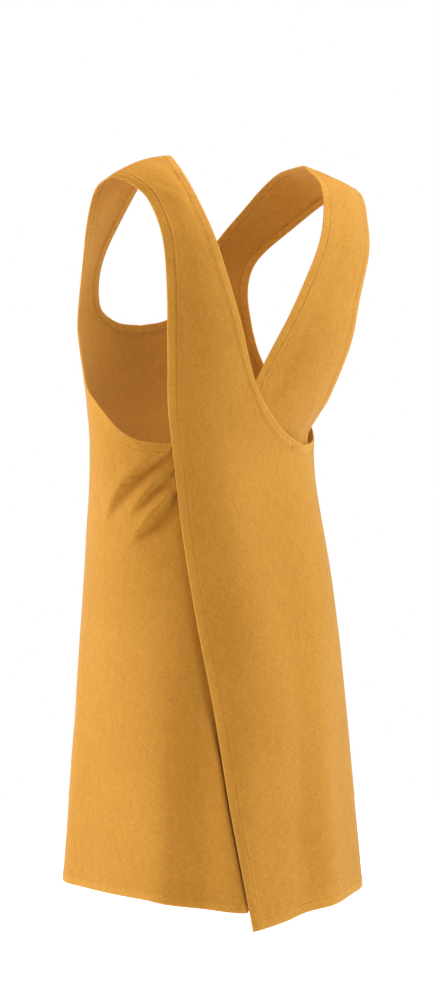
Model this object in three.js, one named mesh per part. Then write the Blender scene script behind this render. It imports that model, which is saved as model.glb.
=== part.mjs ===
import * as THREE from 'three';

// A cross-back pinafore apron, as it hangs when worn. Millimetres.
// X points to the wearer's left, Y to the wearer's back, Z up.
// The origin is between the shoulders, at the height where the straps rest.

const CLOTH = 1.2;          // one thickness of the cloth
const HEM_CLOTH = 2.6;      // turned and stitched edge
const HEM_WIDTH = 13;
const HEM_STEP = 1.5;       // from the full hem thickness to the plain cloth
const SEAM_GAP = 0.4;       // left open where two pieces meet
const STRAP_CLING = 3;      // how closely a strap follows the back where it crosses
const RIGHT_DROP = 10;      // how much lower the wearer's right side hangs
const CLOTH_COLOUR = 0xd6963c;
const CLOTH_ROUGHNESS = 0.9;
const DEGREE = Math.PI / 180;
const UP = new THREE.Vector3(0, 0, 1);

// How far the cloth hangs from the upright axis, in eight directions, at each height.
const SECTION_COLUMNS = ['height', 'back', 'backLeft', 'left', 'frontLeft',
  'front', 'frontRight', 'right', 'backRight'];
const SECTIONS = [
  [-935, 166, 164, 158, 179, 172, 178, 187, 187],
  [-790, 158, 156, 154, 168, 162, 170, 178, 176],
  [-665, 148, 147, 150, 160, 150, 160, 166, 166],
  [-540, 133, 139, 150, 154, 142, 150, 156, 155],
  [-440, 117, 131, 152, 146, 134, 144, 152, 138],
  [-350, 103, 125, 157, 135, 122, 138, 154, 120],
  [-290, 107, 129, 160, 140, 126, 142, 160, 126],
  [-180, 113, 142, 168, 152, 136, 156, 168, 142],
  [-70, 92, 128, 160, 136, 110, 138, 160, 128],
];

// Edges of the cloth. Columns: azimuth from the centre of the back towards the wearer's left, in degrees,
// then height, and how far the edge stands off the section.
const SIDE_SEAM = [[100, -898, 0], [97, -700, 0], [94, -520, 0], [94, -400, 0], [96, -287, 0]];
const UNDERARM_LINE = [[64, -897, 0], [62, -700, 0], [60, -520, 0], [58, -420, 0], [57, -337, 0]];
const ARMHOLE_LOW = [[57, -337, 0], [70, -333, 0], [80, -321, 0], [88, -303, 0], [96, -287, 0]];
const ARMHOLE_FRONT = [[96, -287, 0], [104.5, -275, 0], [112, -252, 0], [117, -227, 1], [120, -203, 2]];
const ARMHOLE_CHEST = [[120, -203, 2], [122, -178, 2], [123.5, -154, 2], [123, -120, 2]];
const CENTRE_SKIRT = [[180, -900, 0], [180, -300, 0]];
const CENTRE_BIB = [[180, -300, 0], [180, -203, 0]];
const NECKLINE = [[180, -203, 0], [163, -197, 0], [150, -174, 0], [145, -120, 0]];

const OVER_HEM = [[19, -932, 6], [2, -925, 6], [-16, -917, 5], [-40, -913, 4], [-64, -909, 3]];
const OVER_EDGE_SKIRT = [[19, -932, 6], [27, -796, 6], [34.2, -662, 6], [42.5, -550, 6],
  [49.8, -444, 6], [54.6, -352, 6]];
const OVER_EDGE_STRAP = [[54.6, -352, 6], [56.5, -290, 6], [55.7, -234, 6], [55.2, -165, 6]];
const OVER_NECK = [[-57, -347, 3], [-46, -348, 5], [-35, -341, 6], [-22, -328, 6], [-8, -303, 6],
  [3, -274, 6], [11.6, -236, 7], [18.5, -187, 9], [22, -162, 10]];
const UNDER_HEM = [[-19, -912, -4], [21, -909, 0], [40, -905, 0], [64, -897, 0]];
const UNDER_EDGE_SKIRT = [[-19, -912, -4], [-27, -796, -4], [-34, -662, -3], [-42.5, -550, -2],
  [-50, -444, -1], [-57, -352, -1]];
const UNDER_EDGE_STRAP = [[-57, -352, -1], [-56.7, -334, 0], [-56.4, -316, 8], [-56, -290, 20],
  [-55.8, -230, 35], [-57.5, -167, 42]];
const UNDER_NECK = [[57, -337, 0], [42, -335, 0], [28, -322, 0], [14, -295, 0], [2.8, -259, 0],
  [-7, -225, 0], [-18, -189, 0], [-29, -153, 0]];

// Straps over the shoulders. Each row is a section across the strap, from the back towards the front:
// its outer and inner edge as x, y, z, and how much its middle is bowed outwards.
const LEFT_STRAP_BACK = [
  { outer: [129, 82, -89], inner: [68, 109, -89], bow: 5 },
  { outer: [131, 55, -41], inner: [77, 85, -41], bow: 6 },
  { outer: [144, 34, -20], inner: [76, 51, -6], bow: 6 },
  { outer: [157, 15, -12], inner: [67, 17, 12], bow: 7 },
];
const LEFT_STRAP_FRONT = [
  { outer: [157, 15, -12], inner: [67, 17, 12], bow: 7 },
  { outer: [156, -18, -28], inner: [68, -22, -4], bow: 4 },
  { outer: [145, -52, -70], inner: [74, -64, -52], bow: 3 },
];
const RIGHT_STRAP_BACK = [
  { outer: [-192, 88, -111], inner: [-95, 105, -100], bow: 8 },
  { outer: [-210, 63, -70], inner: [-115, 91, -58], bow: 9 },
  { outer: [-219, 42, -39], inner: [-127, 69, -22], bow: 7 },
  { outer: [-218, 22, -30], inner: [-134, 28, 0], bow: 3 },
];
const RIGHT_STRAP_FRONT = [
  { outer: [-218, 22, -30], inner: [-134, 28, 0], bow: 3 },
  { outer: [-208, -14, -46], inner: [-126, -18, -13], bow: 3 },
  { outer: [-176, -50, -84], inner: [-103, -62, -62], bow: 4 },
];

// Folds dragged from the crossing of the backs down towards the wearer's left side.
const WAIST_FOLDS = [
  { from: [54, -348], by: [71, -370], to: [92, -428], width: 8, depth: 6 },
  { from: [52, -368], by: [64, -392], to: [78, -434], width: 6, depth: 5 },
  { from: [50, -391], by: [60, -423], to: [76, -466], width: 9, depth: 8 },
];
const FOLD_MM_PER_DEGREE = 2.45;

// Soft upright waves of the skirt, which grow from the waist to the hem.
const UNDER_WAVES = [
  { azimuth: 37, spread: 9, depth: -4 },
  { azimuth: 78, spread: 12, depth: 3 },
];
const OVER_WAVES = [
  { azimuth: -8, spread: 8, depth: -4 },
  { azimuth: -22, spread: 8, depth: 3 },
  { azimuth: -42, spread: 9, depth: -2 },
];
const SHARED_WAVES = [
  { azimuth: 22, spread: 13, depth: 11 },
  { azimuth: 120, spread: 11, depth: 9 },
  { azimuth: 152, spread: 13, depth: 4 },
  { azimuth: 180, spread: 12, depth: -4 },
  { azimuth: 208, spread: 13, depth: 4 },
  { azimuth: -54, spread: 12, depth: 8 },
];
const WAVES_START = -430;
const WAVES_FULL = -880;

function mix(a, b, t) {
  return a + (b - a) * t;
}

function smooth(t) {
  const s = Math.min(1, Math.max(0, t));
  return s * s * (3 - 2 * s);
}

// Cubic curve through rows of numbers that stand at rising keys.
function through(keys, rows, at) {
  const last = keys.length - 1;
  const key = Math.min(keys[last], Math.max(keys[0], at));
  let i = 0;
  while (i < last - 1 && key > keys[i + 1]) i += 1;
  const span = keys[i + 1] - keys[i];
  const t = (key - keys[i]) / span;
  const slope = (k, c) => {
    const lo = Math.max(0, k - 1);
    const hi = Math.min(last, k + 1);
    return (rows[hi][c] - rows[lo][c]) / (keys[hi] - keys[lo]);
  };
  return rows[0].map((_, c) => {
    const a = rows[i][c];
    const b = rows[i + 1][c];
    const ma = slope(i, c) * span;
    const mb = slope(i + 1, c) * span;
    const t2 = t * t;
    const t3 = t2 * t;
    return a * (2 * t3 - 3 * t2 + 1) + ma * (t3 - 2 * t2 + t) + b * (3 * t2 - 2 * t3) + mb * (t3 - t2);
  });
}

const HEIGHTS = SECTIONS.map((row) => row[0]);
const REACHES = SECTIONS.map((row) => row.slice(1));
const SECTORS = SECTION_COLUMNS.length - 1;

// Distance from the axis in any direction and at any height.
function reach(azimuth, height) {
  const ring = through(HEIGHTS, REACHES, height);
  const sector = (((azimuth % 360) + 360) % 360) / (360 / SECTORS);
  const i = Math.floor(sector);
  const t = sector - i;
  const at = (k) => ring[(i + k + SECTORS) % SECTORS];
  const [a, b, c, d] = [at(-1), at(0), at(1), at(2)];
  return b + 0.5 * t * (c - a + t * (2 * a - 5 * b + 4 * c - d + t * (3 * (b - c) + d - a)));
}

function waves(table, azimuth, height) {
  const grown = smooth((height - WAVES_START) / (WAVES_FULL - WAVES_START));
  let sum = 0;
  for (const wave of table) {
    const turn = (((azimuth - wave.azimuth + 180) % 360) + 360) % 360 - 180;
    sum += wave.depth * Math.exp(-((turn / wave.spread) ** 2));
  }
  return sum * grown;
}

function waistFolds(azimuth, height) {
  let sum = 0;
  for (const fold of WAIST_FOLDS) {
    let nearest = Infinity;
    let along = 0;
    for (let k = 0; k <= 20; k += 1) {
      const s = k / 20;
      const wa = (1 - s) * (1 - s);
      const wb = 2 * s * (1 - s);
      const wc = s * s;
      const az = wa * fold.from[0] + wb * fold.by[0] + wc * fold.to[0];
      const z = wa * fold.from[1] + wb * fold.by[1] + wc * fold.to[1];
      const gap = Math.hypot((azimuth - az) * FOLD_MM_PER_DEGREE, height - z);
      if (gap < nearest) {
        nearest = gap;
        along = s;
      }
    }
    const fading = 1 - smooth((along - 0.35) / 0.65);
    sum -= fold.depth * Math.exp(-((nearest / fold.width) ** 2)) * fading;
  }
  return sum;
}

// A place on the hanging cloth, given as azimuth, height and stand-off.
function hang([azimuth, height, out], relief) {
  const r = reach(azimuth, height) + out + relief(azimuth, height);
  return new THREE.Vector3(r * Math.sin(azimuth * DEGREE), r * Math.cos(azimuth * DEGREE), height);
}

const sharedRelief = (azimuth, height) => waves(SHARED_WAVES, azimuth, height);
const underRelief = (azimuth, height) => sharedRelief(azimuth, height)
  + waves(UNDER_WAVES, azimuth, height) + waistFolds(azimuth, height);
const overRelief = (azimuth, height) => sharedRelief(azimuth, height) + waves(OVER_WAVES, azimuth, height);

// A smooth edge through table rows, as a function from 0 to 1.
function edge(rows) {
  const keys = [0];
  for (let i = 1; i < rows.length; i += 1) {
    const turn = (rows[i][0] - rows[i - 1][0]) * FOLD_MM_PER_DEGREE;
    keys.push(keys[i - 1] + Math.hypot(turn, rows[i][1] - rows[i - 1][1]));
  }
  const whole = keys[keys.length - 1];
  return (t) => through(keys, rows, t * whole);
}

const mirror = (rows) => rows.map(([azimuth, height, out]) => [-azimuth, height - RIGHT_DROP, out]);
const between = (a, b) => (t) => a.map((value, c) => mix(value, b[c], t));
const around = (rows) => rows.map(([azimuth, height, out]) => [360 - azimuth, height - RIGHT_DROP, out]);
const opposite = (rows) => rows.map(([azimuth, height, out]) => [360 - azimuth, height, out]);

// A four-sided piece of cloth filled in from its bottom, top, start and end edges.
function fill(bottom, top, start, end) {
  const corners = [bottom(0), bottom(1), top(0), top(1)];
  return (u, v) => bottom(u).map((low, c) => {
    const ruled = mix(low, top(u)[c], v) + mix(start(v)[c], end(v)[c], u);
    const lowCorner = mix(corners[0][c], corners[1][c], u);
    const highCorner = mix(corners[2][c], corners[3][c], u);
    return ruled - mix(lowCorner, highCorner, v);
  });
}

// A strap patch that leaves the hanging cloth at its first row and ends on the shoulder.
function strapPatch(firstRow, sections, towardsEnd) {
  const first = { outer: firstRow(0).toArray(), inner: firstRow(1).toArray(), bow: 0 };
  const rows = [first, ...sections].map((s) => [...s.outer, ...s.inner, s.bow]);
  const keys = [0];
  for (let i = 1; i < rows.length; i += 1) {
    const a = new THREE.Vector3(rows[i][0] + rows[i][3], rows[i][1] + rows[i][4], rows[i][2] + rows[i][5]);
    const b = new THREE.Vector3(
      rows[i - 1][0] + rows[i - 1][3], rows[i - 1][1] + rows[i - 1][4], rows[i - 1][2] + rows[i - 1][5]);
    keys.push(keys[i - 1] + a.distanceTo(b) / 2);
  }
  const whole = keys[keys.length - 1];
  const section = (v) => through(keys, rows, v * whole);
  const middle = (v) => {
    const s = section(v);
    return new THREE.Vector3((s[0] + s[3]) / 2, (s[1] + s[4]) / 2, (s[2] + s[5]) / 2);
  };
  return (u, v) => {
    const s = section(v);
    const outer = new THREE.Vector3(s[0], s[1], s[2]);
    const inner = new THREE.Vector3(s[3], s[4], s[5]);
    const across = inner.clone().sub(outer);
    const along = middle(Math.min(1, v + 0.02)).sub(middle(Math.max(0, v - 0.02)));
    const outwards = across.clone().cross(along).normalize().multiplyScalar(towardsEnd);
    outwards.lerp(UP, v ** 3).normalize();
    const place = outer.clone().lerp(inner, u).addScaledVector(outwards, s[6] * 4 * u * (1 - u));
    const chord = firstRow(0).lerp(firstRow(1), u);
    const kept = 1 - smooth(v * whole / keys[1]);
    return place.add(firstRow(u).sub(chord).multiplyScalar(kept));
  };
}

// Distances along a row of the given length, with close pairs where a hem begins or ends.
function stations(length, steps, hemAtStart, hemAtEnd) {
  const list = [0];
  const begin = hemAtStart ? HEM_WIDTH + HEM_STEP : 0;
  const finish = hemAtEnd ? length - HEM_WIDTH - HEM_STEP : length;
  if (hemAtStart) list.push(HEM_WIDTH, begin);
  const inside = steps - (hemAtStart ? 2 : 0) - (hemAtEnd ? 2 : 0);
  for (let k = 1; k <= inside; k += 1) list.push(mix(begin, finish, k / inside));
  if (hemAtEnd) list.push(length - HEM_WIDTH, length);
  return list;
}

// The u values at which a curve reaches the given distances.
function spread(curve, steps, hemAtStart, hemAtEnd) {
  const fine = 60;
  const run = [0];
  let previous = curve(0);
  for (let k = 1; k <= fine; k += 1) {
    const next = curve(k / fine);
    run.push(run[k - 1] + next.distanceTo(previous));
    previous = next;
  }
  return stations(run[fine], steps, hemAtStart, hemAtEnd).map((distance) => {
    let k = 1;
    while (k < fine && run[k] < distance) k += 1;
    const t = (distance - run[k - 1]) / (run[k] - run[k - 1]);
    return (k - 1 + Math.min(1, Math.max(0, t))) / fine;
  });
}

// One piece of cloth: patches of quads that share their corners, given a thickness.
class Cloth {
  constructor() {
    this.points = [];
    this.index = new Map();
    this.quads = [];
    this.hems = [];
    this.seams = new Map();
  }

  point(place) {
    const key = place.toArray().map((value) => Math.round(value * 200)).join(',');
    if (!this.index.has(key)) {
      this.index.set(key, this.points.length);
      this.points.push(place.clone());
    }
    return this.index.get(key);
  }

  // rows and columns of a patch; free names its hemmed edges, seam the edge that meets another piece
  patch(place, rows, steps, hemAtStart, hemAtEnd, free, seam) {
    const grid = rows.map((v) => spread((u) => place(u, v), steps, hemAtStart, hemAtEnd)
      .map((u) => place(u, v)));
    const ids = grid.map((row) => row.map((p) => this.point(p)));
    const last = ids.length - 1;
    if (seam === 'start') ids.forEach((row) => this.seams.set(row[0], 'side'));
    if (seam === 'end') ids.forEach((row) => this.seams.set(row[row.length - 1], 'side'));
    if (seam === 'top') ids[last].forEach((id) => this.seams.set(id, 'shoulder'));
    for (let j = 1; j < ids.length; j += 1) {
      for (let i = 1; i < ids[j].length; i += 1) {
        this.quads.push([ids[j - 1][i - 1], ids[j - 1][i], ids[j][i], ids[j][i - 1]]);
      }
    }
    if (free.includes('start')) this.hems.push(grid.map((row) => row[0]));
    if (free.includes('end')) this.hems.push(grid.map((row) => row[row.length - 1]));
    if (free.includes('bottom')) this.hems.push(grid[0]);
    if (free.includes('top')) this.hems.push(grid[grid.length - 1]);
  }

  thickness(place) {
    let nearest = Infinity;
    const spot = new THREE.Vector3();
    const piece = new THREE.Line3();
    for (const hem of this.hems) {
      for (let k = 1; k < hem.length; k += 1) {
        piece.set(hem[k - 1], hem[k]);
        piece.closestPointToPoint(place, true, spot);
        nearest = Math.min(nearest, spot.distanceTo(place));
      }
    }
    return nearest < HEM_WIDTH + 0.4 * HEM_STEP ? HEM_CLOTH : CLOTH;
  }

  // closed body; facing is 1 where the quads already face outwards
  body(facing) {
    const triangles = [];
    for (const [a, b, c, d] of this.quads) {
      const [p, q, r, s] = facing > 0 ? [a, b, c, d] : [a, d, c, b];
      if (p !== q && q !== r && p !== r) triangles.push([p, q, r]);
      if (p !== r && r !== s && p !== s) triangles.push([p, r, s]);
    }
    const normals = this.points.map(() => new THREE.Vector3());
    const flat = new THREE.Triangle();
    const facet = new THREE.Vector3();
    for (const [a, b, c] of triangles) {
      flat.set(this.points[a], this.points[b], this.points[c]);
      flat.getNormal(facet);
      facet.multiplyScalar(flat.getArea());
      for (const k of [a, b, c]) normals[k].add(facet);
    }
    // at a seam the thickness is cut square, so that the two pieces do not run into each other
    for (const [k, kind] of this.seams) {
      const level = Math.hypot(this.points[k].x, this.points[k].y);
      const side = new THREE.Vector3(this.points[k].y / level, -this.points[k].x / level, 0);
      const crossing = kind === 'side' ? side : new THREE.Vector3(0, 1, 0);
      normals[k].addScaledVector(crossing, -normals[k].dot(crossing));
    }
    const count = this.points.length;
    const places = [];
    this.points.forEach((p, k) => {
      places.push(p.clone().addScaledVector(normals[k].normalize(), this.thickness(p) / 2));
    });
    this.points.forEach((p, k) => {
      places.push(p.clone().addScaledVector(normals[k], -this.thickness(p) / 2));
    });
    const faces = [];
    const rim = new Map();
    for (const [a, b, c] of triangles) {
      faces.push([a, b, c], [a + count, c + count, b + count]);
      for (const [from, to] of [[a, b], [b, c], [c, a]]) {
        const back = `${to},${from}`;
        if (rim.has(back)) rim.delete(back);
        else rim.set(`${from},${to}`, [from, to]);
      }
    }
    for (const [from, to] of rim.values()) {
      faces.push([from, from + count, to + count], [from, to + count, to]);
    }
    const geometry = new THREE.BufferGeometry();
    const numbers = places.flatMap((p) => p.toArray());
    geometry.setAttribute('position', new THREE.Float32BufferAttribute(numbers, 3));
    geometry.setIndex(faces.flat());
    geometry.computeVertexNormals();
    return geometry;
  }
}

// Row positions: evenly spaced, with close pairs where a bottom or top hem begins.
function rowList(curve, steps, hemAtBottom, hemAtTop) {
  return spread(curve, steps, hemAtBottom, hemAtTop);
}

// Moves an edge sideways, in azimuth, by half of the seam gap.
function eased(rows, side) {
  const turn = side * SEAM_GAP / 2 / FOLD_MM_PER_DEGREE;
  return rows.map(([azimuth, height, out]) => [azimuth + turn, height, out]);
}

// Ends a strap short of the shoulder seam by half of the seam gap.
function shortOfSeam(sections, away) {
  const rows = sections.map((s) => ({ outer: [...s.outer], inner: [...s.inner], bow: s.bow }));
  const end = away > 0 ? rows[rows.length - 1] : rows[0];
  end.outer[1] += away * SEAM_GAP / 2;
  end.inner[1] += away * SEAM_GAP / 2;
  return rows;
}

// A back panel with the strap that it narrows into.
// side is 1 for the piece whose side seam is on the wearer's left, and -1 for the mirror piece.
function backPanel(side, hem, edgeSkirt, edgeStrap, neck, offsets, strap, relief, counts) {
  const mirrored = side > 0 ? (rows) => rows : mirror;
  const lift = (rows, amounts) => rows.map(([azimuth, height], k) => {
    const share = k / (rows.length - 1);
    return [azimuth, height, mix(amounts[0], amounts[1], share)];
  });
  const seam = edge(eased(mirrored(SIDE_SEAM), -side));
  const underarm = edge(lift(mirrored(UNDERARM_LINE), offsets));
  const armholeRows = lift(mirrored(ARMHOLE_LOW), [offsets[1], 0]);
  armholeRows[armholeRows.length - 1] = seam(1);
  const armhole = edge(armholeRows);
  const free = edge(edgeSkirt);
  const cross = (u) => {
    const place = between(free(1), underarm(1))(u);
    place[2] = mix(underarm(1)[2], free(1)[2], (1 - u) ** STRAP_CLING);
    return place;
  };
  const at = (patch) => (u, v) => hang(patch(u, v), relief);
  const back = at(fill(edge(hem), cross, free, underarm));
  const flank = at(fill(between(underarm(0), seam(0)), armhole, underarm, seam));
  const outer = edge(edgeStrap);
  const inner = edge(neck);
  const strapFill = fill(cross, between(outer(1), inner(1)), outer, inner);
  // the stand-off of the strap's outer edge dies away quickly across the strap
  const low = at((u, v) => {
    const [azimuth, height] = strapFill(u, v);
    const share = mix((1 - u) ** STRAP_CLING, 1 - u, v);
    return [azimuth, height, mix(inner(v)[2], outer(v)[2], share)];
  });
  const high = strapPatch((u) => low(u, 1), strap, -side);
  const cloth = new Cloth();
  const skirtRows = rowList((t) => back(1, t), counts.skirt, true, true);
  const lowRows = rowList((t) => low(0.5, t), counts.low, false, false);
  const highRows = rowList((t) => high(0.5, t), counts.high, false, false);
  cloth.patch(back, skirtRows, counts.across, true, true, ['start', 'bottom'], 'none');
  cloth.patch(flank, skirtRows, counts.flank, false, false, ['bottom', 'top'], 'end');
  cloth.patch(low, lowRows, counts.across, true, true, ['start', 'end'], 'none');
  cloth.patch(high, highRows, counts.across, true, true, ['start', 'end'], 'top');
  return cloth.body(side);
}

// The front: two halves that share the centre line below the neckline.
function frontPanel(counts) {
  const cloth = new Cloth();
  const halves = [
    { turn: (rows) => rows, mid: (rows) => rows, strap: LEFT_STRAP_FRONT, hand: 1 },
    { turn: around, mid: opposite, strap: RIGHT_STRAP_FRONT, hand: -1 },
  ];
  for (const { turn, mid, strap, hand } of halves) {
    const seam = edge(eased(turn(SIDE_SEAM), hand));
    const armRows = turn(ARMHOLE_FRONT);
    armRows[0] = seam(1);
    const arm = edge(armRows);
    const chest = edge(turn(ARMHOLE_CHEST));
    const centre = edge(mid(CENTRE_SKIRT));
    const bibCentre = edge(mid(CENTRE_BIB));
    const neck = edge(mid(NECKLINE));
    const at = (patch) => (u, v) => hang(patch(hand > 0 ? u : 1 - u, v), underRelief);
    const skirt = at(fill(between(seam(0), centre(0)), between(seam(1), centre(1)), seam, centre));
    const bib = at(fill(between(seam(1), centre(1)), between(arm(1), bibCentre(1)), arm, bibCentre));
    const low = at(fill(between(arm(1), bibCentre(1)), between(chest(1), neck(1)), chest, neck));
    const topRow = hand > 0 ? (u) => low(u, 1) : (u) => low(1 - u, 1);
    const rising = strapPatch(topRow, [...shortOfSeam(strap, -1)].reverse(), -hand);
    const high = hand > 0 ? rising : (u, v) => rising(1 - u, v);
    const outside = hand > 0 ? 'start' : 'end';
    const inside = hand > 0 ? 'end' : 'start';
    const middle = hand > 0 ? 1 : 0;
    const skirtRows = rowList((t) => skirt(middle, t), counts.skirt, true, false);
    const bibRows = rowList((t) => bib(middle, t), counts.bib, false, true);
    const lowRows = rowList((t) => low(0.5, t), counts.low, false, false);
    const highRows = rowList((t) => high(0.5, t), counts.high, false, false);
    cloth.patch(skirt, skirtRows, counts.across, true, true, ['bottom'], outside);
    cloth.patch(bib, bibRows, counts.across, true, true, [outside], 'none');
    cloth.patch(low, lowRows, counts.across, true, true, [outside, inside], 'none');
    cloth.patch(high, highRows, counts.across, true, true, [outside, inside], 'top');
  }
  return cloth.body(1);
}

const group = new THREE.Group();
group.name = 'apron';

function addPiece(name, geometry) {
  const material = new THREE.MeshStandardMaterial({
    color: CLOTH_COLOUR, roughness: CLOTH_ROUGHNESS, metalness: 0, name: `${name}_cloth`,
  });
  const mesh = new THREE.Mesh(geometry, material);
  mesh.name = name;
  group.add(mesh);
}

addPiece('front_panel', frontPanel({ across: 10, skirt: 19, bib: 7, low: 5, high: 9 }));
addPiece('left_back_panel', backPanel(
  1, UNDER_HEM, UNDER_EDGE_SKIRT, UNDER_EDGE_STRAP, UNDER_NECK, [0, 0],
  shortOfSeam(RIGHT_STRAP_BACK, 1), underRelief, { across: 14, flank: 10, skirt: 34, low: 12, high: 10 }));
addPiece('right_back_panel', backPanel(
  -1, OVER_HEM, OVER_EDGE_SKIRT, OVER_EDGE_STRAP, OVER_NECK, [3, 3],
  shortOfSeam(LEFT_STRAP_BACK, 1), overRelief, { across: 14, flank: 6, skirt: 22, low: 12, high: 10 }));

export default group;
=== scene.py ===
import math

import bpy
import numpy as np
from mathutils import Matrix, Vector
from mathutils.kdtree import KDTree


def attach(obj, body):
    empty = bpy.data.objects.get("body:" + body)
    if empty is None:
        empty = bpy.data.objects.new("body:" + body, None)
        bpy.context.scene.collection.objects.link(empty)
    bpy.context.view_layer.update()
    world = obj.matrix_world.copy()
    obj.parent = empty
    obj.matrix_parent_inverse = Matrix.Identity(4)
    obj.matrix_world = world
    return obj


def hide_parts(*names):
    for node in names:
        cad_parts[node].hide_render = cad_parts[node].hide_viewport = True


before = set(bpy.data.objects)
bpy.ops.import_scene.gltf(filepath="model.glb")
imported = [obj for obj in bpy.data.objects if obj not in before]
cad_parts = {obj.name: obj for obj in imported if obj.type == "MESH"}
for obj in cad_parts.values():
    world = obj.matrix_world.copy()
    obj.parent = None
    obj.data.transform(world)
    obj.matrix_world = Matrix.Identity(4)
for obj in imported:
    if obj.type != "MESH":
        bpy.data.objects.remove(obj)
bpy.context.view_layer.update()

# A cross-back pinafore apron, as it hangs when worn. Sizes are in millimetres and angles in degrees unless a
# comment says otherwise, and the pieces are built in metres.
# X points to the wearer's left, Y to the wearer's back and Z up.
MM = 0.001
CLOTH = 1.0           # one thickness of the cloth
HEM_CLOTH = 2.0       # turned and stitched edge
BACK_GRID = 2.95      # spacing of the fine mesh
FRONT_GRID = 3.7
RIGHT_DROP = 10       # how much lower the wearer's right side hangs
OVER_GAP = 3          # how far the over panel stands off at its underarm line
UNDER_CLING = 2.2     # how soon the strap of the under panel comes back to the body, as a power
OVER_CLING = 6        # how late the over panel comes back to it
MM_PER_DEGREE = 2.45  # length of one degree of azimuth, on average
FAR = 1e6

STITCH_AT = 11.2      # from the edge to the topstitching
STITCH_PITCH = 3.3
STITCH_LONG = 2.5
STITCH_THICK = 0.55
STITCH_FLAT = 0.8     # height of a stitch as a share of its width
STITCH_LIFT = 0.12    # how far its middle stands above the cloth

# How far the cloth hangs from the upright axis, in eight directions, at each height.
# Columns: height, back, back left, left, front left, front, front right, right, back right.
SECTIONS = np.array([
    [-935, 166, 164, 158, 179, 172, 178, 187, 187],
    [-790, 158, 156, 154, 168, 162, 170, 178, 176],
    [-665, 148, 147, 150, 160, 150, 160, 166, 166],
    [-540, 133, 139, 150, 154, 142, 150, 156, 155],
    [-440, 117, 131, 152, 146, 134, 144, 152, 138],
    [-350, 103, 125, 157, 135, 122, 138, 154, 120],
    [-290, 107, 129, 160, 140, 126, 142, 160, 126],
    [-180, 113, 142, 168, 152, 136, 156, 168, 142],
    [-70, 92, 128, 160, 136, 110, 138, 160, 128],
], float)

# Edges of the cloth. Columns: azimuth from the centre of the back towards the wearer's left, height,
# and how far the edge stands off the section.
SIDE_SEAM = [[100, -898, 0], [97, -700, 0], [94, -520, 0], [94, -400, 0], [96, -287, 0]]
UNDERARM_LINE = [[64, -897, 0], [62, -700, 0], [60, -520, 0], [58, -420, 0], [57, -337, 0]]
ARMHOLE_LOW = [[57, -337, 0], [70, -333, 0], [80, -321, 0], [88, -303, 0], [96, -287, 0]]
ARMHOLE_FRONT = [[96, -287, 0], [104.5, -275, 0], [112, -252, 0], [117, -227, 1], [120, -203, 2]]
ARMHOLE_CHEST = [[120, -203, 2], [122, -178, 2], [123.5, -154, 2], [123, -120, 2]]
CENTRE_SKIRT = [[180, -900, 0], [180, -300, 0]]
CENTRE_BIB = [[180, -300, 0], [180, -203, 0]]
NECKLINE = [[180, -203, 0], [163, -197, 0], [150, -174, 0], [145, -120, 0]]
NECK_TURN = 0.53      # share of the neckline that lies along the top of the bib
BIB_SHARE = 0.62      # share of the front's half width that runs up into the strap

OVER_HEM = [[19, -932, 6], [2, -925, 6], [-16, -917, 5], [-40, -913, 4], [-64, -909, 3]]
OVER_EDGE_SKIRT = [[19, -932, 6], [27, -796, 6], [34.2, -662, 6], [42.5, -550, 6],
                   [49.8, -444, 6], [54.6, -352, 6]]
OVER_EDGE_STRAP = [[54.6, -352, 6], [56.5, -290, 6], [55.7, -234, 6], [55.2, -165, 6]]
OVER_NECK = [[-57, -347, 3], [-46, -348, 5], [-35, -341, 6], [-22, -328, 6], [-8, -303, 6],
             [3, -274, 6], [11.6, -236, 7], [18.5, -187, 9], [22, -162, 10]]
UNDER_HEM = [[-19, -912, -4], [21, -909, 0], [40, -905, 0], [64, -897, 0]]
UNDER_EDGE_SKIRT = [[-19, -912, -4], [-27, -796, -4], [-34, -662, -3], [-42.5, -550, -2],
                    [-50, -444, -1], [-57, -352, -1]]
UNDER_EDGE_STRAP = [[-57, -352, -1], [-56.7, -334, 0], [-56.4, -316, 8], [-56, -290, 20],
                    [-55.8, -230, 35], [-57.5, -167, 42]]
UNDER_NECK = [[57, -337, 0], [42, -335, 0], [28, -322, 0], [14, -295, 0], [2.8, -259, 0],
              [-7, -225, 0], [-18, -189, 0], [-29, -153, 0]]

# Sections across the straps, from the back to the shoulder or from the shoulder to the front.
# Columns: outer edge x, y, z, inner edge x, y, z, and how much the middle is bowed outwards.
LEFT_STRAP_BACK = [
    [129, 82, -89, 68, 109, -89, 5],
    [131, 55, -41, 77, 85, -41, 6],
    [144, 34, -20, 76, 51, -6, 6],
    [157, 15, -12, 67, 17, 12, 7],
]
LEFT_STRAP_FRONT = [
    [157, 15, -12, 67, 17, 12, 7],
    [156, -18, -28, 68, -22, -4, 4],
    [145, -52, -70, 74, -64, -52, 3],
]
RIGHT_STRAP_BACK = [
    [-192, 88, -111, -95, 105, -100, 8],
    [-210, 63, -70, -115, 91, -58, 9],
    [-219, 42, -39, -127, 69, -22, 7],
    [-218, 22, -30, -134, 28, 0, 3],
]
RIGHT_STRAP_FRONT = [
    [-218, 22, -30, -134, 28, 0, 3],
    [-208, -14, -46, -126, -18, -13, 3],
    [-176, -50, -84, -103, -62, -62, 4],
]
SHOULDER_TURN = 3     # how late a strap's bow turns upright on its way to the shoulder, as a power
STRAP_STEP = 0.02     # share of a strap's length over which its direction is measured

# Shallow hollow along each strap: its place and width as shares of the strap's width from the outer edge,
# and its depth. It grows with the lower part of the strap and fades on the upper part, as shares of them.
LEFT_STRAP_HOLLOW = [0.34, 0.12, 0.6]
RIGHT_STRAP_HOLLOW = [0.68, 0.11, 1.8]
HOLLOW_GROWS = 0.625
HOLLOW_FADE = (0.5, 0.35)

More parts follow.
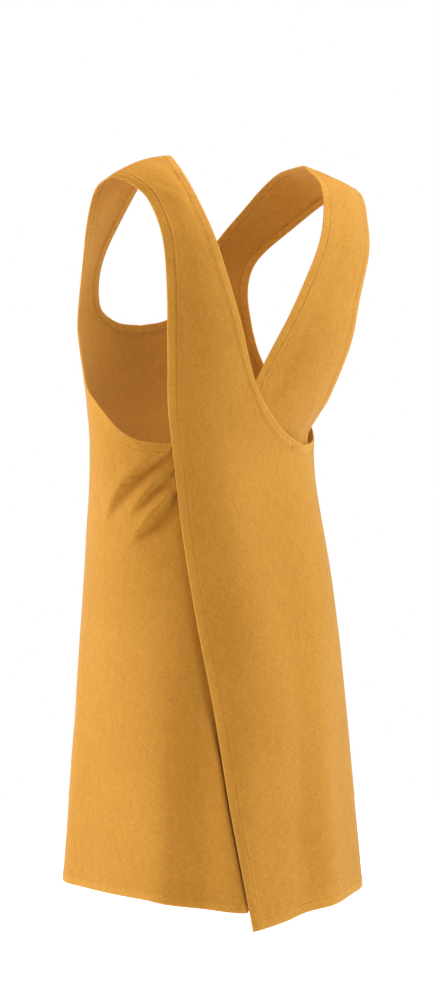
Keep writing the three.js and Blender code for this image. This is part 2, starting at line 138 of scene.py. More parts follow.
# Folds dragged from the crossing of the backs down towards the wearer's left side. Each one rises slowly to a
# crest and drops steeply behind it. Columns: azimuth and height of the start, of a guide point and of the end
# of the drop, then the width and height of the rise, the width of the drop, and the depth and width of the
# hollow below.
WAIST_FOLDS = [
    [59, -348, 76.5, -372, 94, -450, 26, 10, 6, 3.5, 9],
    [56.5, -373, 67.5, -396, 78, -433, 8, 7.0, 5, 2.8, 8],
    [53.5, -396, 64, -427, 79, -469, 9, 8.0, 8, 7.0, 16],
]
FOLD_STEPS = 41       # places tried along a fold
CREST_BEGINS = 0.35   # how far the crest has grown at the start of a fold
CREST_GROWS = 0.3     # share of the fold's length over which it grows
CREST_FADE = (0.5, 0.5)      # shares of the length at which it starts to fade, and over which it fades
FOLD_HOLLOW_FADE = (0.4, 0.6)

# The under panel falls in behind the over panel's free edge, more towards the hem, and swells out before it
# low on the skirt. Pairs hold a value high and a value low on the skirt, or before and after the middle.
TUCK_DEPTH = 10
TUCK_START, TUCK_GROWS = -400, 480
TUCK_LEAD = (12, 2.4)        # how far before the edge the fall begins
TUCK_WIDTH = (13, 5)
TUCK_RETURN = 0.9            # share of the fall that the cloth comes back further in
TUCK_RETURN_AT, TUCK_RETURN_WIDTH = 40, 70
SWELL_RISE = 3.0
SWELL_START, SWELL_GROWS = -625, 110
SWELL_AT = -4
SWELL_WIDTHS = (19, 3.5)
EDGE_CURL = 1.2              # how far the over panel's free edge curls in
CURL_WIDTH = 11

# Soft bend of the over panel: its distance from the free edge, its widths before and after the middle, its
# height, and the heights at which it begins and starts to fade.
BEND_AT = 70
BEND_WIDTHS = (40, 46)
BEND_RISE = 6
BEND_TOP, BEND_GROWS = -320, 90
BEND_LOW, BEND_FADES = -660, 150

# Small dents under the right end of the over panel's neck edge. Columns: azimuth, height, length, depth.
GATHERS = [[-30, -352, 10, 1.3], [-34.5, -357, 9, 1.4], [-39.5, -371, 9, 1.2], [-44, -366, 8, 0.9]]
GATHER_WIDTH = 1.4    # degrees

# Soft upright waves of the skirt. Columns: azimuth, spread towards lower and higher azimuths, depth.
UNDER_WAVES = [[37, 9, 9, -4], [57, 9, 14, 7]]
OVER_WAVES = [[-8, 8, 8, -5], [-22, 8, 8, 4], [-42, 9, 9, -2.5]]
SHARED_WAVES = [[22, 13, 13, 11], [120, 11, 11, 9], [152, 13, 13, 4], [180, 12, 12, -4],
                [208, 13, 13, 4], [-54, 12, 12, 8]]
WAVES_START, WAVES_FULL = -430, -880


def mix(a, b, t):
    return a + (b - a) * t


def smooth(t):
    s = np.clip(t, 0, 1)
    return s * s * (3 - 2 * s)


def fade(at, start, length):
    return 1 - smooth((at - start) / length)


def bell(gap, width):
    """A smooth bump, 1 high, where a gap is zero."""
    return np.exp(-((gap / width) ** 2))


def bump(gap, before, after):
    """A bell with its own width on each side of its middle."""
    return bell(gap, np.where(gap < 0, before, after))


def span(vectors):
    return np.linalg.norm(vectors, axis=-1)


def unit(vectors):
    return vectors / np.linalg.norm(vectors, axis=-1, keepdims=True)


def through(keys, rows, at):
    """Cubic curve through rows of numbers that stand at rising keys."""
    keys, rows = np.asarray(keys, float), np.asarray(rows, float)
    at = np.clip(np.asarray(at, float), keys[0], keys[-1])
    last = len(keys) - 1
    i = np.clip(np.searchsorted(keys, at, side="right") - 1, 0, last - 1)
    k = np.arange(last + 1)
    lo, hi = np.maximum(k - 1, 0), np.minimum(k + 1, last)
    slope = (rows[hi] - rows[lo]) / (keys[hi] - keys[lo])[:, None]
    span = (keys[i + 1] - keys[i])[..., None]
    t = ((at - keys[i])[..., None]) / span
    a, b, ma, mb = rows[i], rows[i + 1], slope[i] * span, slope[i + 1] * span
    t2, t3 = t * t, t * t * t
    return a * (2 * t3 - 3 * t2 + 1) + ma * (t3 - 2 * t2 + t) + b * (3 * t2 - 2 * t3) + mb * (t3 - t2)


# The form of the hanging cloth

def reach(azimuth, height):
    """Distance from the axis in any direction and at any height."""
    ring = through(SECTIONS[:, 0], SECTIONS[:, 1:], height)
    sector = np.mod(azimuth, 360) / 45
    i = np.floor(sector).astype(int)
    t = sector - i
    a, b, c, d = (np.take_along_axis(ring, np.mod(i + k, 8)[..., None], -1)[..., 0] for k in (-1, 0, 1, 2))
    return b + 0.5 * t * (c - a + t * (2 * a - 5 * b + 4 * c - d + t * (3 * (b - c) + d - a)))


def waves(table, azimuth, height):
    grown = smooth((height - WAVES_START) / (WAVES_FULL - WAVES_START))
    total = np.zeros_like(azimuth)
    for centre, lower, higher, depth in table:
        turn = np.mod(azimuth - centre + 180, 360) - 180
        total += depth * bump(turn, lower, higher)
    return total * grown


def fold_distance(fold, azimuth, height):
    """Distance from a fold's line, positive below it, and how far along it the nearest point is."""
    start, guide, end = np.reshape(fold[:6], (3, 2))
    nearest = np.full_like(azimuth, FAR)
    signed, along = nearest.copy(), np.zeros_like(azimuth)
    for s in np.linspace(0, 1, FOLD_STEPS):
        az, z = (1 - s) ** 2 * start + 2 * s * (1 - s) * guide + s * s * end
        run, rise = (1 - s) * (guide - start) + s * (end - guide)
        x, y = (azimuth - az) * MM_PER_DEGREE, height - z
        gap = np.hypot(x, y)
        closer = gap < nearest
        nearest = np.where(closer, gap, nearest)
        signed = np.where(closer, np.copysign(gap, x * rise - y * (run * MM_PER_DEGREE)), signed)
        along = np.where(closer, s, along)
    return signed, along


def waist_folds(azimuth, height):
    total = np.zeros_like(azimuth)
    for fold in WAIST_FOLDS:
        gap, along = fold_distance(fold, azimuth, height)
        wide, rise, drop, depth, soft = fold[6:]
        past = gap + drop / 2
        crest = rise * smooth(CREST_BEGINS + along / CREST_GROWS) * fade(along, *CREST_FADE)
        hollow = depth * fade(along, *FOLD_HOLLOW_FADE)
        climb = crest * np.exp(np.minimum(past, 0) / wide)
        settle = -hollow * bell(np.maximum(past - drop, 0), soft)
        total += mix(climb, settle, smooth(past / drop))
    return total


def behind_free_edge(azimuth, height):
    """How far a place lies behind the over panel's free edge."""
    rows = np.array(OVER_EDGE_SKIRT, float)
    edge_azimuth = through(rows[:, 1], rows[:, :1], height)[..., 0]
    return (edge_azimuth - azimuth) * MM_PER_DEGREE


def tuck(azimuth, height):
    """The under panel swells out before the free edge of the over panel and falls in behind it."""
    behind = behind_free_edge(azimuth, height)
    low = smooth((SWELL_START - height) / SWELL_GROWS)
    fall = smooth((behind + mix(*TUCK_LEAD, low)) / mix(*TUCK_WIDTH, low))
    fall = fall * (1 - TUCK_RETURN * smooth((behind - TUCK_RETURN_AT) / TUCK_RETURN_WIDTH))
    grown = np.clip((TUCK_START - height) / TUCK_GROWS, 0, 1)
    return SWELL_RISE * bump(behind - SWELL_AT, *SWELL_WIDTHS) * low - TUCK_DEPTH * fall * grown


def bend(azimuth, height):
    """The over panel lies flat beside its free edge and then turns around the body."""
    ridge = bump(behind_free_edge(azimuth, height) - BEND_AT, *BEND_WIDTHS)
    grown = smooth((BEND_TOP - height) / BEND_GROWS)
    return BEND_RISE * ridge * grown * (1 - smooth((BEND_LOW - height) / BEND_FADES))


def gathers(azimuth, height):
    total = np.zeros_like(azimuth)
    for centre, middle, length, depth in GATHERS:
        across, along = (azimuth - centre) / GATHER_WIDTH, (height - middle) / length
        total -= depth * np.exp(-(across ** 2) - along ** 2)
    return total


def shared_relief(azimuth, height):
    return waves(SHARED_WAVES, azimuth, height)


def under_relief(azimuth, height):
    own = waves(UNDER_WAVES, azimuth, height) + waist_folds(azimuth, height) + tuck(azimuth, height)
    return shared_relief(azimuth, height) + own


def over_relief(azimuth, height):
    own = waves(OVER_WAVES, azimuth, height) + gathers(azimuth, height) + bend(azimuth, height)
    return shared_relief(azimuth, height) + own


def hang(place, relief):
    """Places on the hanging cloth, given as azimuth, height and stand-off."""
    azimuth, height, out = place[..., 0], place[..., 1], place[..., 2]
    r = reach(azimuth, height) + out + relief(azimuth, height)
    turn = np.radians(azimuth)
    return np.stack([r * np.sin(turn), r * np.cos(turn), height], -1)


def hung(flat, relief):
    """The hanging form of an area that is given flat."""
    return lambda u, v: hang(flat(u, v), relief)


# Edges, and the areas between them

FIRST, LAST = np.array(0.0), np.array(1.0)


def edge(rows):
    """A smooth edge through table rows, as a function from 0 to 1."""
    rows = np.asarray(rows, float)
    step = np.hypot(np.diff(rows[:, 0]) * MM_PER_DEGREE, np.diff(rows[:, 1]))
    keys = np.concatenate([[0], np.cumsum(step)])
    return lambda t: through(keys, rows, np.asarray(t, float) * keys[-1])


def between(a, b):
    a, b = np.asarray(a, float), np.asarray(b, float)
    return lambda t: a + (b - a) * np.asarray(t, float)[..., None]


def same(rows):
    return rows


def mirror(rows):
    return [[-a, z - RIGHT_DROP, out] for a, z, out in rows]


def around(rows):
    return [[360 - a, z - RIGHT_DROP, out] for a, z, out in rows]


def opposite(rows):
    return [[360 - a, z, out] for a, z, out in rows]


def lift(rows, low, high):
    """The same edge with a stand-off that changes evenly from its first row to its last."""
    count = len(rows) - 1
    return [[a, z, mix(low, high, k / count)] for k, (a, z, _) in enumerate(rows)]


def fill(bottom, top, start, end):
    """A four-sided piece of cloth filled in from its edges."""
    c00, c10, c01, c11 = bottom(FIRST), bottom(LAST), top(FIRST), top(LAST)

    def place(u, v):
        u1, v1 = u[..., None], v[..., None]
        ruled = mix(bottom(u), top(u), v1) + mix(start(v), end(v), u1)
        return ruled - mix(mix(c00, c10, u1), mix(c01, c11, u1), v1)
    return place


def row_at(place, v):
    """The curve across an area at a fixed v."""
    return lambda t: place(t, np.full_like(t, v))


def line_at(place, u):
    """The curve up an area at a fixed u."""
    return lambda t: place(np.full_like(t, u), t)


def strap_patch(first_row, sections, facing):
    """A strap that leaves the hanging cloth at its first row and ends on the shoulder."""
    ends = first_row(np.array([0.0, 1.0]))
    rows = np.vstack([np.concatenate([ends[0], ends[1], [0]]), np.asarray(sections, float)])
    middle = (rows[:, 0:3] + rows[:, 3:6]) / 2
    keys = run_of(middle)

    def centre(v):
        s = through(keys, rows, v * keys[-1])
        return (s[..., 0:3] + s[..., 3:6]) / 2

    def place(u, v):
        s = through(keys, rows, v * keys[-1])
        outer, inner = s[..., 0:3], s[..., 3:6]
        along = centre(np.minimum(1, v + STRAP_STEP)) - centre(np.maximum(0, v - STRAP_STEP))
        outwards = np.cross(inner - outer, along)
        outwards *= facing / span(outwards)[..., None]
        outwards = mix(outwards, np.array([0.0, 0.0, 1.0]), (v ** SHOULDER_TURN)[..., None])
        u1 = u[..., None]
        spot = mix(outer, inner, u1) + unit(outwards) * (s[..., 6] * 4 * u * (1 - u))[..., None]
        kept = fade(v * keys[-1], 0, keys[1])
        return spot + (first_row(u) - mix(ends[0], ends[1], u1)) * kept[..., None]
    return place


# Lines of the mesh

# Lines that run beside a hem, as distances from the edge, and which of them the stitches lie on.
HEM_LINES = np.array([0, 0.5, 1.3, 2.6, 4.6, 6.8, 8.8, 10.0, 10.7, 11.2, 11.7, 12.4, 13.2, 14.2, 15.6])
STITCH_LINE = int(np.argmin(np.abs(HEM_LINES - STITCH_AT)))
FINE = np.linspace(0, 1, 161)
JOINT_ROWS = 20       # rows on each side of a joint that are eased
JOINT_REACH = 48      # rows from the joint at which the easing stops
JOINT_BLUR = 7

# Whether the mesh crosses a hem at its start and at its end.
BOTH, NEITHER, AT_START, AT_END = (True, True), (False, False), (True, False), (False, True)


def stations(length, inside, hems):
    """Distances of the mesh lines along a length that may have a hem at either end."""
    start = HEM_LINES[:-1] if hems[0] else []
    end = length - HEM_LINES[-2::-1] if hems[1] else []
    middle = np.linspace(HEM_LINES[-1] * hems[0], length - HEM_LINES[-1] * hems[1], inside + 1)
    return np.concatenate([start, middle, end])


def steps_for(length, hems, grid):
    return max(3, int(round((length - HEM_LINES[-1] * sum(hems)) / grid)))


def run_of(points):
    """Distances along rows of points."""
    step = span(np.diff(points, axis=-2))
    return np.concatenate([np.zeros(step.shape[:-1] + (1,)), np.cumsum(step, -1)], -1)


def length_of(curve):
    return run_of(curve(FINE))[-1]


def spread_line(curve, hems, grid, count=None):
    """Values from 0 to 1 at which a curve reaches the mesh lines, and their distances along it."""
    run = run_of(curve(FINE))
    at = stations(run[-1], count or steps_for(run[-1], hems, grid), hems)
    return np.interp(at, run, FINE), at


def spread_rows(place, values, inside, hems, by_column=False):
    """For each value of one parameter, the other one at every mesh line, with distances from both ends."""
    free, fixed = np.meshgrid(FINE, values)
    runs = run_of(place(fixed, free) if by_column else place(free, fixed))
    near = np.array([stations(run[-1], inside, hems) for run in runs])
    other = np.array([np.interp(at, run, FINE) for at, run in zip(near, runs)])
    return other, near, runs[:, -1:] - near


def across_rows(place, rows, inside, hems=BOTH):
    """Mesh of an area whose rows are fixed: u, v and the distances from both ends of each row."""
    u, near, far = spread_rows(place, rows, inside, hems)
    return u, np.broadcast_to(rows[:, None], u.shape), near, far


def up_columns(place, columns, inside, hems):
    """Mesh of an area whose columns are fixed: u, v and the distances from both ends of each column."""
    v, near, far = spread_rows(place, columns, inside, hems, by_column=True)
    return np.broadcast_to(columns[:, None], v.shape).T, v.T, near.T, far.T


def ease_joint(below, above):
    """Rounds the turn where one patch carries on into the next, along each column of points."""
    whole = np.concatenate([below, above[1:]])
    joint, last = len(below) - 1, len(whole) - 1
    pad = 3 * JOINT_BLUR
    head = 2 * whole[0] - whole[pad:0:-1]
    tail = 2 * whole[last] - whole[last - 1:last - pad - 1:-1]
    longer = np.concatenate([head, whole, tail])
    kernel = np.exp(-0.5 * (np.arange(-pad, pad + 1) / JOINT_BLUR) ** 2)
    kernel /= kernel.sum()
    eased = sum(k * longer[i:i + last + 1] for i, k in enumerate(kernel))
    gap = np.abs(np.arange(last + 1) - joint)
    weight = np.where(gap < JOINT_REACH, bell(gap, JOINT_ROWS), 0)
    weight[[0, -1]] = 0
    whole = mix(whole, eased, weight[:, None, None])
    return whole[:joint + 1], whole[joint:]


def cloth_uv(place):
    """Flat coordinates of the hanging cloth, in metres."""
    return np.stack([place[..., 0] * MM_PER_DEGREE * MM, place[..., 1] * MM], -1)


def strap_uv(base, points):
    """Carries the flat coordinates of a strap's first row along the strap."""
    run = run_of(np.swapaxes(points, 0, 1)).T
    return np.stack([np.broadcast_to(base[..., 0], run.shape), base[..., 1] + run * MM], -1)


def vertex_normals(points, quads):
    a, b, c, d = (points[quads[:, k]] for k in range(4))
    facet = np.cross(c - a, d - b)
    total = np.zeros_like(points)
    for k in range(4):
        np.add.at(total, quads[:, k], facet)
    return total / np.maximum(span(total), 1e-12)[:, None]


def least(values, groups, count):
    """The smallest value in each group."""
    result = np.full(count, FAR)
    np.minimum.at(result, groups, np.concatenate(values))
    return result


MERGE_PER_MM = 50     # corners that round to the same place on this scale are one


class Cloth:
    """One piece of cloth: patches of quads that share their corners."""

    def __init__(self, name):
        self.name, self.count = name, 0
        self.points, self.hem, self.free, self.sunk, self.flat = [], [], [], [], []
        self.quads, self.seams, self.lines = [], [], []

    def patch(self, points, hem, flat, flip, seam=None, free=FAR, sunk=0.0):
        """Adds a patch with its distances from the hem and the free edge, and numbers its corners."""
        ids = np.arange(hem.size).reshape(hem.shape) + self.count
        self.count += hem.size
        self.points.append(points.reshape(-1, 3))
        self.flat.append(flat.reshape(-1, 2))
        for known, values in ((self.hem, hem), (self.free, free), (self.sunk, sunk)):
            known.append(np.broadcast_to(values, hem.shape).reshape(-1))
        a, b, c, d = ids[:-1, :-1], ids[:-1, 1:], ids[1:, 1:], ids[1:, :-1]
        self.quads.append(np.stack([a, d, c, b] if flip else [a, b, c, d], -1).reshape(-1, 4))
        if seam:
            side, kind = seam
            line = {"start": ids[:, 0], "end": ids[:, -1], "top": ids[-1]}[side]
            self.seams.append((line, kind))
        return ids

    def join(self):
        """Merges the corners that patches share, and works out which way the cloth faces."""
        points = np.vstack(self.points)
        keys = np.round(points * MERGE_PER_MM).astype(np.int64)
        _, first, inverse = np.unique(keys, axis=0, return_index=True, return_inverse=True)
        inverse = inverse.reshape(-1)
        self.spots = points[first]
        self.from_hem = least(self.hem, inverse, len(first))
        self.from_free = least(self.free, inverse, len(first))
        self.hollow = np.concatenate(self.sunk)[first]
        self.flat = np.vstack(self.flat)[first]
        self.quads = inverse[np.vstack(self.quads)]
        self.lines = [inverse[line] for line in self.lines]
        self.seam = {int(k): kind for line, kind in self.seams for k in inverse[line]}
        self.normals = vertex_normals(self.spots, self.quads)
        self.square_seams()

    def square_seams(self):
        """Turns the cloth at a seam so that the two pieces meet without a step."""
        for k, kind in self.seam.items():
            x, y, _ = self.spots[k]
            level = math.hypot(x, y)
            crossing = np.array([y / level, -x / level, 0] if kind == "side" else [0.0, 1.0, 0.0])
            self.normals[k] -= crossing * (self.normals[k] @ crossing)
        self.normals = unit(self.normals)


class Panel:
    """Cloth that narrows into a strap. Its side is 1 on the wearer's left and -1 on the right."""

    def __init__(self, cloth, side, flat, relief, strap):
        self.cloth, self.flip, self.flat = cloth, side > 0, flat
        self.hung = {area: hung(shape, relief) for area, shape in flat.items()}
        self.shoulder = strap_patch(row_at(self.hung["strap"], 1), strap, -side)

    def patch(self, area, points, mesh, hem, **more):
        return self.cloth.patch(points, hem, cloth_uv(self.flat[area](*mesh[:2])), self.flip, **more)

    def strap_parts(self, inside, grid):
        """The lower part of the strap and the part over the shoulder, each with its points and its mesh."""
        meshes = []
        for place in (self.hung["strap"], self.shoulder):
            rows, _ = spread_line(line_at(place, 0.5), NEITHER, grid)
            meshes.append(across_rows(place, rows, inside))
        low, high = meshes
        below, above = ease_joint(self.hung["strap"](*low[:2]), self.shoulder(*high[:2]))
        return below, low, above, high

    def add_shoulder(self, below_mesh, points, mesh, **more):
        """The part of the strap over the shoulder, whose flat coordinates carry on from the part below."""
        flat = strap_uv(cloth_uv(self.flat["strap"](*below_mesh[:2]))[-1], points)
        hem = np.minimum(*mesh[2:])
        return self.cloth.patch(points, hem, flat, self.flip, ("top", "shoulder"), **more)


# The back panels

CORNER_REACH = 150    # how far from the underarm corner the hem is measured from the edge itself
CORNER_BLEND = 25     # width over which the two ways of measuring it are blended
BORDER_STEPS = 801    # places along each edge that it is measured from
NEARLY = 0.95         # share of its distance at which the stitch line has reached the mesh line


def edge_tree(border):
    tree = KDTree(len(border))
    for index, spot in enumerate(border):
        tree.insert(spot, index)
    tree.balance()
    return tree


def beside_edge(border, points, ids):
    """Places on the stitch line that runs beside an edge, and the corners of the mesh nearest to them."""
    tangent = np.gradient(border, axis=0)
    outwards = border * np.array([1.0, 1.0, 0.0])
    inwards = np.cross(outwards, tangent)
    inwards /= -np.copysign(span(inwards), inwards[:, 2])[:, None]
    spots = border + STITCH_AT * inwards
    return spots, ids[span(spots[:, None] - points[None]).argmin(1)]


def strap_hollow(u, hollow):
    centre, width, depth = hollow
    return -depth * bell(u - centre, width)


def back_areas(turned, edges, offset, cling):
    """The skirt, the flank and the lower strap of a back panel, flat, filled in from their edges."""
    hem, free, outer, inner = (edge(rows) for rows in edges)
    seam = edge(turned(SIDE_SEAM))
    underarm = edge(lift(turned(UNDERARM_LINE), offset, offset))
    armhole = edge(lift(turned(ARMHOLE_LOW), offset, 0))
    foot, head = free(LAST), underarm(LAST)

    def cross(u):
        place = between(foot, head)(u)
        place[..., 2] = mix(head[2], foot[2], cling(np.asarray(u)))
        return place

    ruled = fill(cross, between(outer(LAST), inner(LAST)), outer, inner)

    def strap(u, v):
        place = ruled(u, v)
        share = mix(cling(u), 1 - u, v)
        place[..., 2] = mix(inner(v)[..., 2], outer(v)[..., 2], share)
        return place

    flank = fill(between(underarm(FIRST), seam(FIRST)), armhole, underarm, seam)
    return {"skirt": fill(hem, cross, free, underarm), "flank": flank, "strap": strap}


class BackPanel(Panel):
    """A back panel and the strap that it narrows into."""

    def __init__(self, name, side, edges, offset, strap, relief, cling, hollow):
        flat = back_areas(same if side > 0 else mirror, edges, offset, cling)
        super().__init__(Cloth(name), side, flat, relief, strap)
        close = np.linspace(0, 1, BORDER_STEPS)
        neck = line_at(self.hung["strap"], 1)
        self.neck_edge = neck(FINE)
        self.corner = self.neck_edge[0]
        self.border = edge_tree(np.vstack([neck(close), row_at(self.hung["flank"], 1)(close)]))
        self.corner_points, self.corner_ids = [], []
        self.add_skirt()
        self.add_flank()
        self.add_strap(hollow)
        self.cloth.lines = [np.concatenate(line) for line in (self.free_line, self.hem_line, self.neck_line)]
        self.cloth.join()

    def measured(self, points, hem):
        """Hem distances, measured from the edge itself near the corner where the mesh lines leave it."""
        away = span(points - self.corner)
        near = away < CORNER_REACH
        gap = np.array([self.border.find(spot)[2] for spot in points[near]])
        hem = np.array(hem)
        gap = np.minimum(hem[near], gap)
        hem[near] = mix(hem[near], gap, smooth((CORNER_REACH - away[near]) / CORNER_BLEND))
        return hem

    def keep_corner(self, points, ids):
        """Remembers the part of a patch that the stitches around the underarm corner may lie on."""
        around_it = span(points - self.corner) < 2 * CORNER_REACH
        self.corner_points.append(points[around_it])
        self.corner_ids.append(ids[around_it])

    def add_skirt(self):
        """The skirt from the free edge to the underarm line."""
        place = self.hung["skirt"]
        rows, from_hem = spread_line(line_at(place, 1), BOTH, BACK_GRID)
        self.steps_up = len(rows) - 1 - 2 * (len(HEM_LINES) - 1)
        self.steps_across = steps_for(length_of(row_at(place, 0)), BOTH, BACK_GRID)
        mesh = u, v, near, _ = across_rows(place, rows, self.steps_across)
        points = place(u, v)
        hem = self.measured(points, np.minimum(near, from_hem[:, None]))
        ids = self.patch("skirt", points, mesh, hem, free=near)
        self.keep_corner(points, ids)
        self.free_line, self.hem_line = [ids[STITCH_LINE:, STITCH_LINE]], [ids[STITCH_LINE, STITCH_LINE:]]

    def add_flank(self):
        """The flank from the underarm line to the side seam."""
        place = self.hung["flank"]
        columns, _ = spread_line(row_at(place, 0), NEITHER, BACK_GRID)
        mesh = u, v, near, far = up_columns(place, columns, self.steps_up, BOTH)
        points = place(u, v)
        hem = self.measured(points, np.minimum(near, far))
        ids = self.patch("flank", points, mesh, hem, seam=("end", "side"))
        self.hem_line.append(ids[STITCH_LINE])
        self.neck_line = [ids[-1 - STITCH_LINE, ::-1]]

    def add_strap(self, hollow):
        """The strap, up the back and over the shoulder."""
        below, low, above, high = self.strap_parts(self.steps_across, BACK_GRID)
        u, v, near, far = low
        hem = self.measured(below, np.minimum(near, far))
        sunk = strap_hollow(u, hollow) * smooth(v / HOLLOW_GROWS)
        ids = self.patch("strap", below, low, hem, free=near, sunk=sunk)
        self.keep_corner(below, ids)
        self.free_line.append(ids[:, STITCH_LINE])
        self.stitch_neck(below, hem, ids)
        u, v, near, _ = high
        sunk = strap_hollow(u, hollow) * fade(v, *HOLLOW_FADE)
        ids = self.add_shoulder(low, above, high, free=near, sunk=sunk)
        self.free_line.append(ids[:, STITCH_LINE])
        self.neck_line.append(ids[:, -1 - STITCH_LINE])

    def stitch_neck(self, points, hem, ids):
        """The stitch line up the neck edge: around the corner, then along a line of the strap's mesh."""
        column = -1 - STITCH_LINE
        corner_points, corner_ids = np.vstack(self.corner_points), np.concatenate(self.corner_ids)
        spots, beside = beside_edge(self.neck_edge, corner_points, corner_ids)
        settled = int(np.argmax(hem[:, column] > NEARLY * STITCH_AT))
        reached = int(span(spots - points[settled, column]).argmin())
        self.neck_line += [beside[:reached:2], ids[settled:, column]]


# The front

def front_areas(turn, middle):
    """The areas of one half of the front, flat, filled in from their edges."""
    seam, arm, chest = (edge(turn(rows)) for rows in (SIDE_SEAM, ARMHOLE_FRONT, ARMHOLE_CHEST))
    centre, bib_centre, neck = (edge(middle(rows)) for rows in (CENTRE_SKIRT, CENTRE_BIB, NECKLINE))
    hem_spot = between(seam(FIRST), centre(FIRST))(np.array(BIB_SHARE))
    waist_spot = between(seam(LAST), centre(LAST))(np.array(BIB_SHARE))
    corner = neck(np.array(NECK_TURN))
    skirt_line, bib_line = between(hem_spot, waist_spot), between(waist_spot, corner)
    waist_side, waist_mid = between(seam(LAST), waist_spot), between(waist_spot, centre(LAST))
    bib_side = between(arm(LAST), corner)

    def bib_top(t):
        return neck(NECK_TURN * (1 - np.asarray(t)))

    def strap_neck(t):
        return neck(mix(NECK_TURN, 1, np.asarray(t)))

    return {
        "skirt_side": fill(between(seam(FIRST), hem_spot), waist_side, seam, skirt_line),
        "skirt_mid": fill(between(hem_spot, centre(FIRST)), waist_mid, skirt_line, centre),
        "bib_side": fill(waist_side, bib_side, arm, bib_line),
        "bib_mid": fill(waist_mid, bib_top, bib_line, bib_centre),
        "strap": fill(bib_side, between(chest(LAST), neck(LAST)), chest, strap_neck),
    }


class FrontHalf(Panel):
    """Half of the front, from a side seam to the centre. The second half takes its rows from the first."""

    def __init__(self, cloth, turn, middle, strap, side, first):
        super().__init__(cloth, side, front_areas(turn, middle), shared_relief, strap[::-1])
        skirt, bib = self.hung["skirt_side"], self.hung["bib_side"]
        self.side_steps = steps_for(length_of(row_at(skirt, 0)), BOTH, FRONT_GRID)
        self.mid_steps = steps_for(length_of(row_at(self.hung["skirt_mid"], 0)), NEITHER, FRONT_GRID)
        own_rows, _ = spread_line(line_at(skirt, 1), AT_START, FRONT_GRID)
        self.skirt_rows = first.skirt_rows if first else own_rows
        self.bib_rows, _ = spread_line(line_at(bib, 1), AT_END, FRONT_GRID, first and first.bib_steps)
        self.bib_steps = len(self.bib_rows) - len(HEM_LINES)
        self.add_skirt()
        self.add_bib()
        self.add_strap()
        cloth.lines += [np.concatenate(line) for line in (self.hem_line, self.arm_line, self.neck_line)]

    def add_skirt(self):
        """The skirt, from the side seam to the line under the strap, and on to the centre."""
        side, mid = self.hung["skirt_side"], self.hung["skirt_mid"]
        from_hem = np.interp(self.skirt_rows, FINE, run_of(line_at(side, 1)(FINE)))[:, None]
        mesh = across_rows(side, self.skirt_rows, self.side_steps)
        points = side(*mesh[:2])
        hem = np.minimum(from_hem, span(points - points[-1, 0]))
        ids = self.patch("skirt_side", points, mesh, hem, seam=("start", "side"))
        mesh = across_rows(mid, self.skirt_rows, self.mid_steps, NEITHER)
        points = mid(*mesh[:2])
        mid_ids = self.patch("skirt_mid", points, mesh, np.broadcast_to(from_hem, points.shape[:2]))
        self.hem_line = [ids[STITCH_LINE], mid_ids[STITCH_LINE]]

    def add_bib(self):
        """The bib, with the armhole on one side and the neckline on top."""
        side, mid = self.hung["bib_side"], self.hung["bib_mid"]
        mesh = u, v, near, _ = across_rows(side, self.bib_rows, self.side_steps)
        points = side(u, v)
        hem = np.minimum(near, span(points - points[-1, -1]))
        self.arm_line = [self.patch("bib_side", points, mesh, hem)[:, STITCH_LINE]]
        columns, _, _ = spread_rows(mid, np.array([0.0]), self.mid_steps, NEITHER)
        mesh = u, v, _, far = up_columns(mid, columns[0], self.bib_steps, AT_END)
        self.neck_line = [self.patch("bib_mid", mid(u, v), mesh, far)[-1 - STITCH_LINE, ::-1]]

    def add_strap(self):
        """The strap, up the chest and over the shoulder."""
        below, low, above, high = self.strap_parts(self.side_steps, FRONT_GRID)
        lower = self.patch("strap", below, low, np.minimum(*low[2:]))
        upper = self.add_shoulder(low, above, high)
        for ids in (lower, upper):
            self.arm_line.append(ids[:, STITCH_LINE])
            self.neck_line.append(ids[:, -1 - STITCH_LINE])


def front_panel(name):
    """The front: two halves that share the centre line below the neckline."""
    cloth, half = Cloth(name), None
    halves = ((same, same, LEFT_STRAP_FRONT, 1), (around, opposite, RIGHT_STRAP_FRONT, -1))
    for turn, middle, strap, side in halves:
        half = FrontHalf(cloth, turn, middle, strap, side, half)
    cloth.join()
    return cloth


# Closed cloth

# Small unevenness of the cloth. Columns: size of the bumps in x, y and z, their height, and a seed.
RIPPLES = [[70, 70, 130, 0.9, 3], [24, 24, 46, 0.35, 8]]
PUCKER = [7, 7, 7, 0.22, 21]
PUCKER_FADE = (12, 6)              # distance from the edge at which they start to fade, and the fade's width
PUCKER_GROWS = 6                   # width over which they grow from the edge

# Soft creases on the over panel's strap, in space. Columns: start x, y, z, end x, y, z, width, depth.
OVER_CREASES = [
    [95, 27, 1, 88, 62, -15, 6, 1.2],
    [115, 53, -21, 100, 68, -31, 4, 1.1],
    [78, 104, -89, 86, 80, -41, 6, 1.6],
    [86, 80, -41, 88, 58, -14, 6, 1.2],
]

HEM_END, HEM_STEP = 12.2, 3        # where the turned hem ends, and the width over which it thins out
EDGE_ROUND = 1.5                   # radius of the turned edge
EDGE_HALF = 0.35                   # half of the thickness at the very edge
STITCH_DIP, DIP_WIDTH = 0.3, 0.7   # how far the stitches pull the cloth in
SEAM_THIN = 0.2                    # how much thinner each half of the cloth is at a sewn seam
EDGE_KNOWN = 50                    # distances from the edge are kept up to this one
SHARP_TURN = math.radians(62)      # faces that meet at more than this keep a sharp edge


def hashed(ix, iy, iz, seed):
    """A repeatable number from -1 to 1 for each lattice corner."""
    h = (ix * 374761393 + iy * 668265263 + iz * 1442695041 + seed * 974634777) & 0xFFFFFFFF
    h = ((h ^ (h >> 13)) * 1274126177) & 0xFFFFFFFF
    return ((h ^ (h >> 16)) & 0xFFFF) / 32767.5 - 1


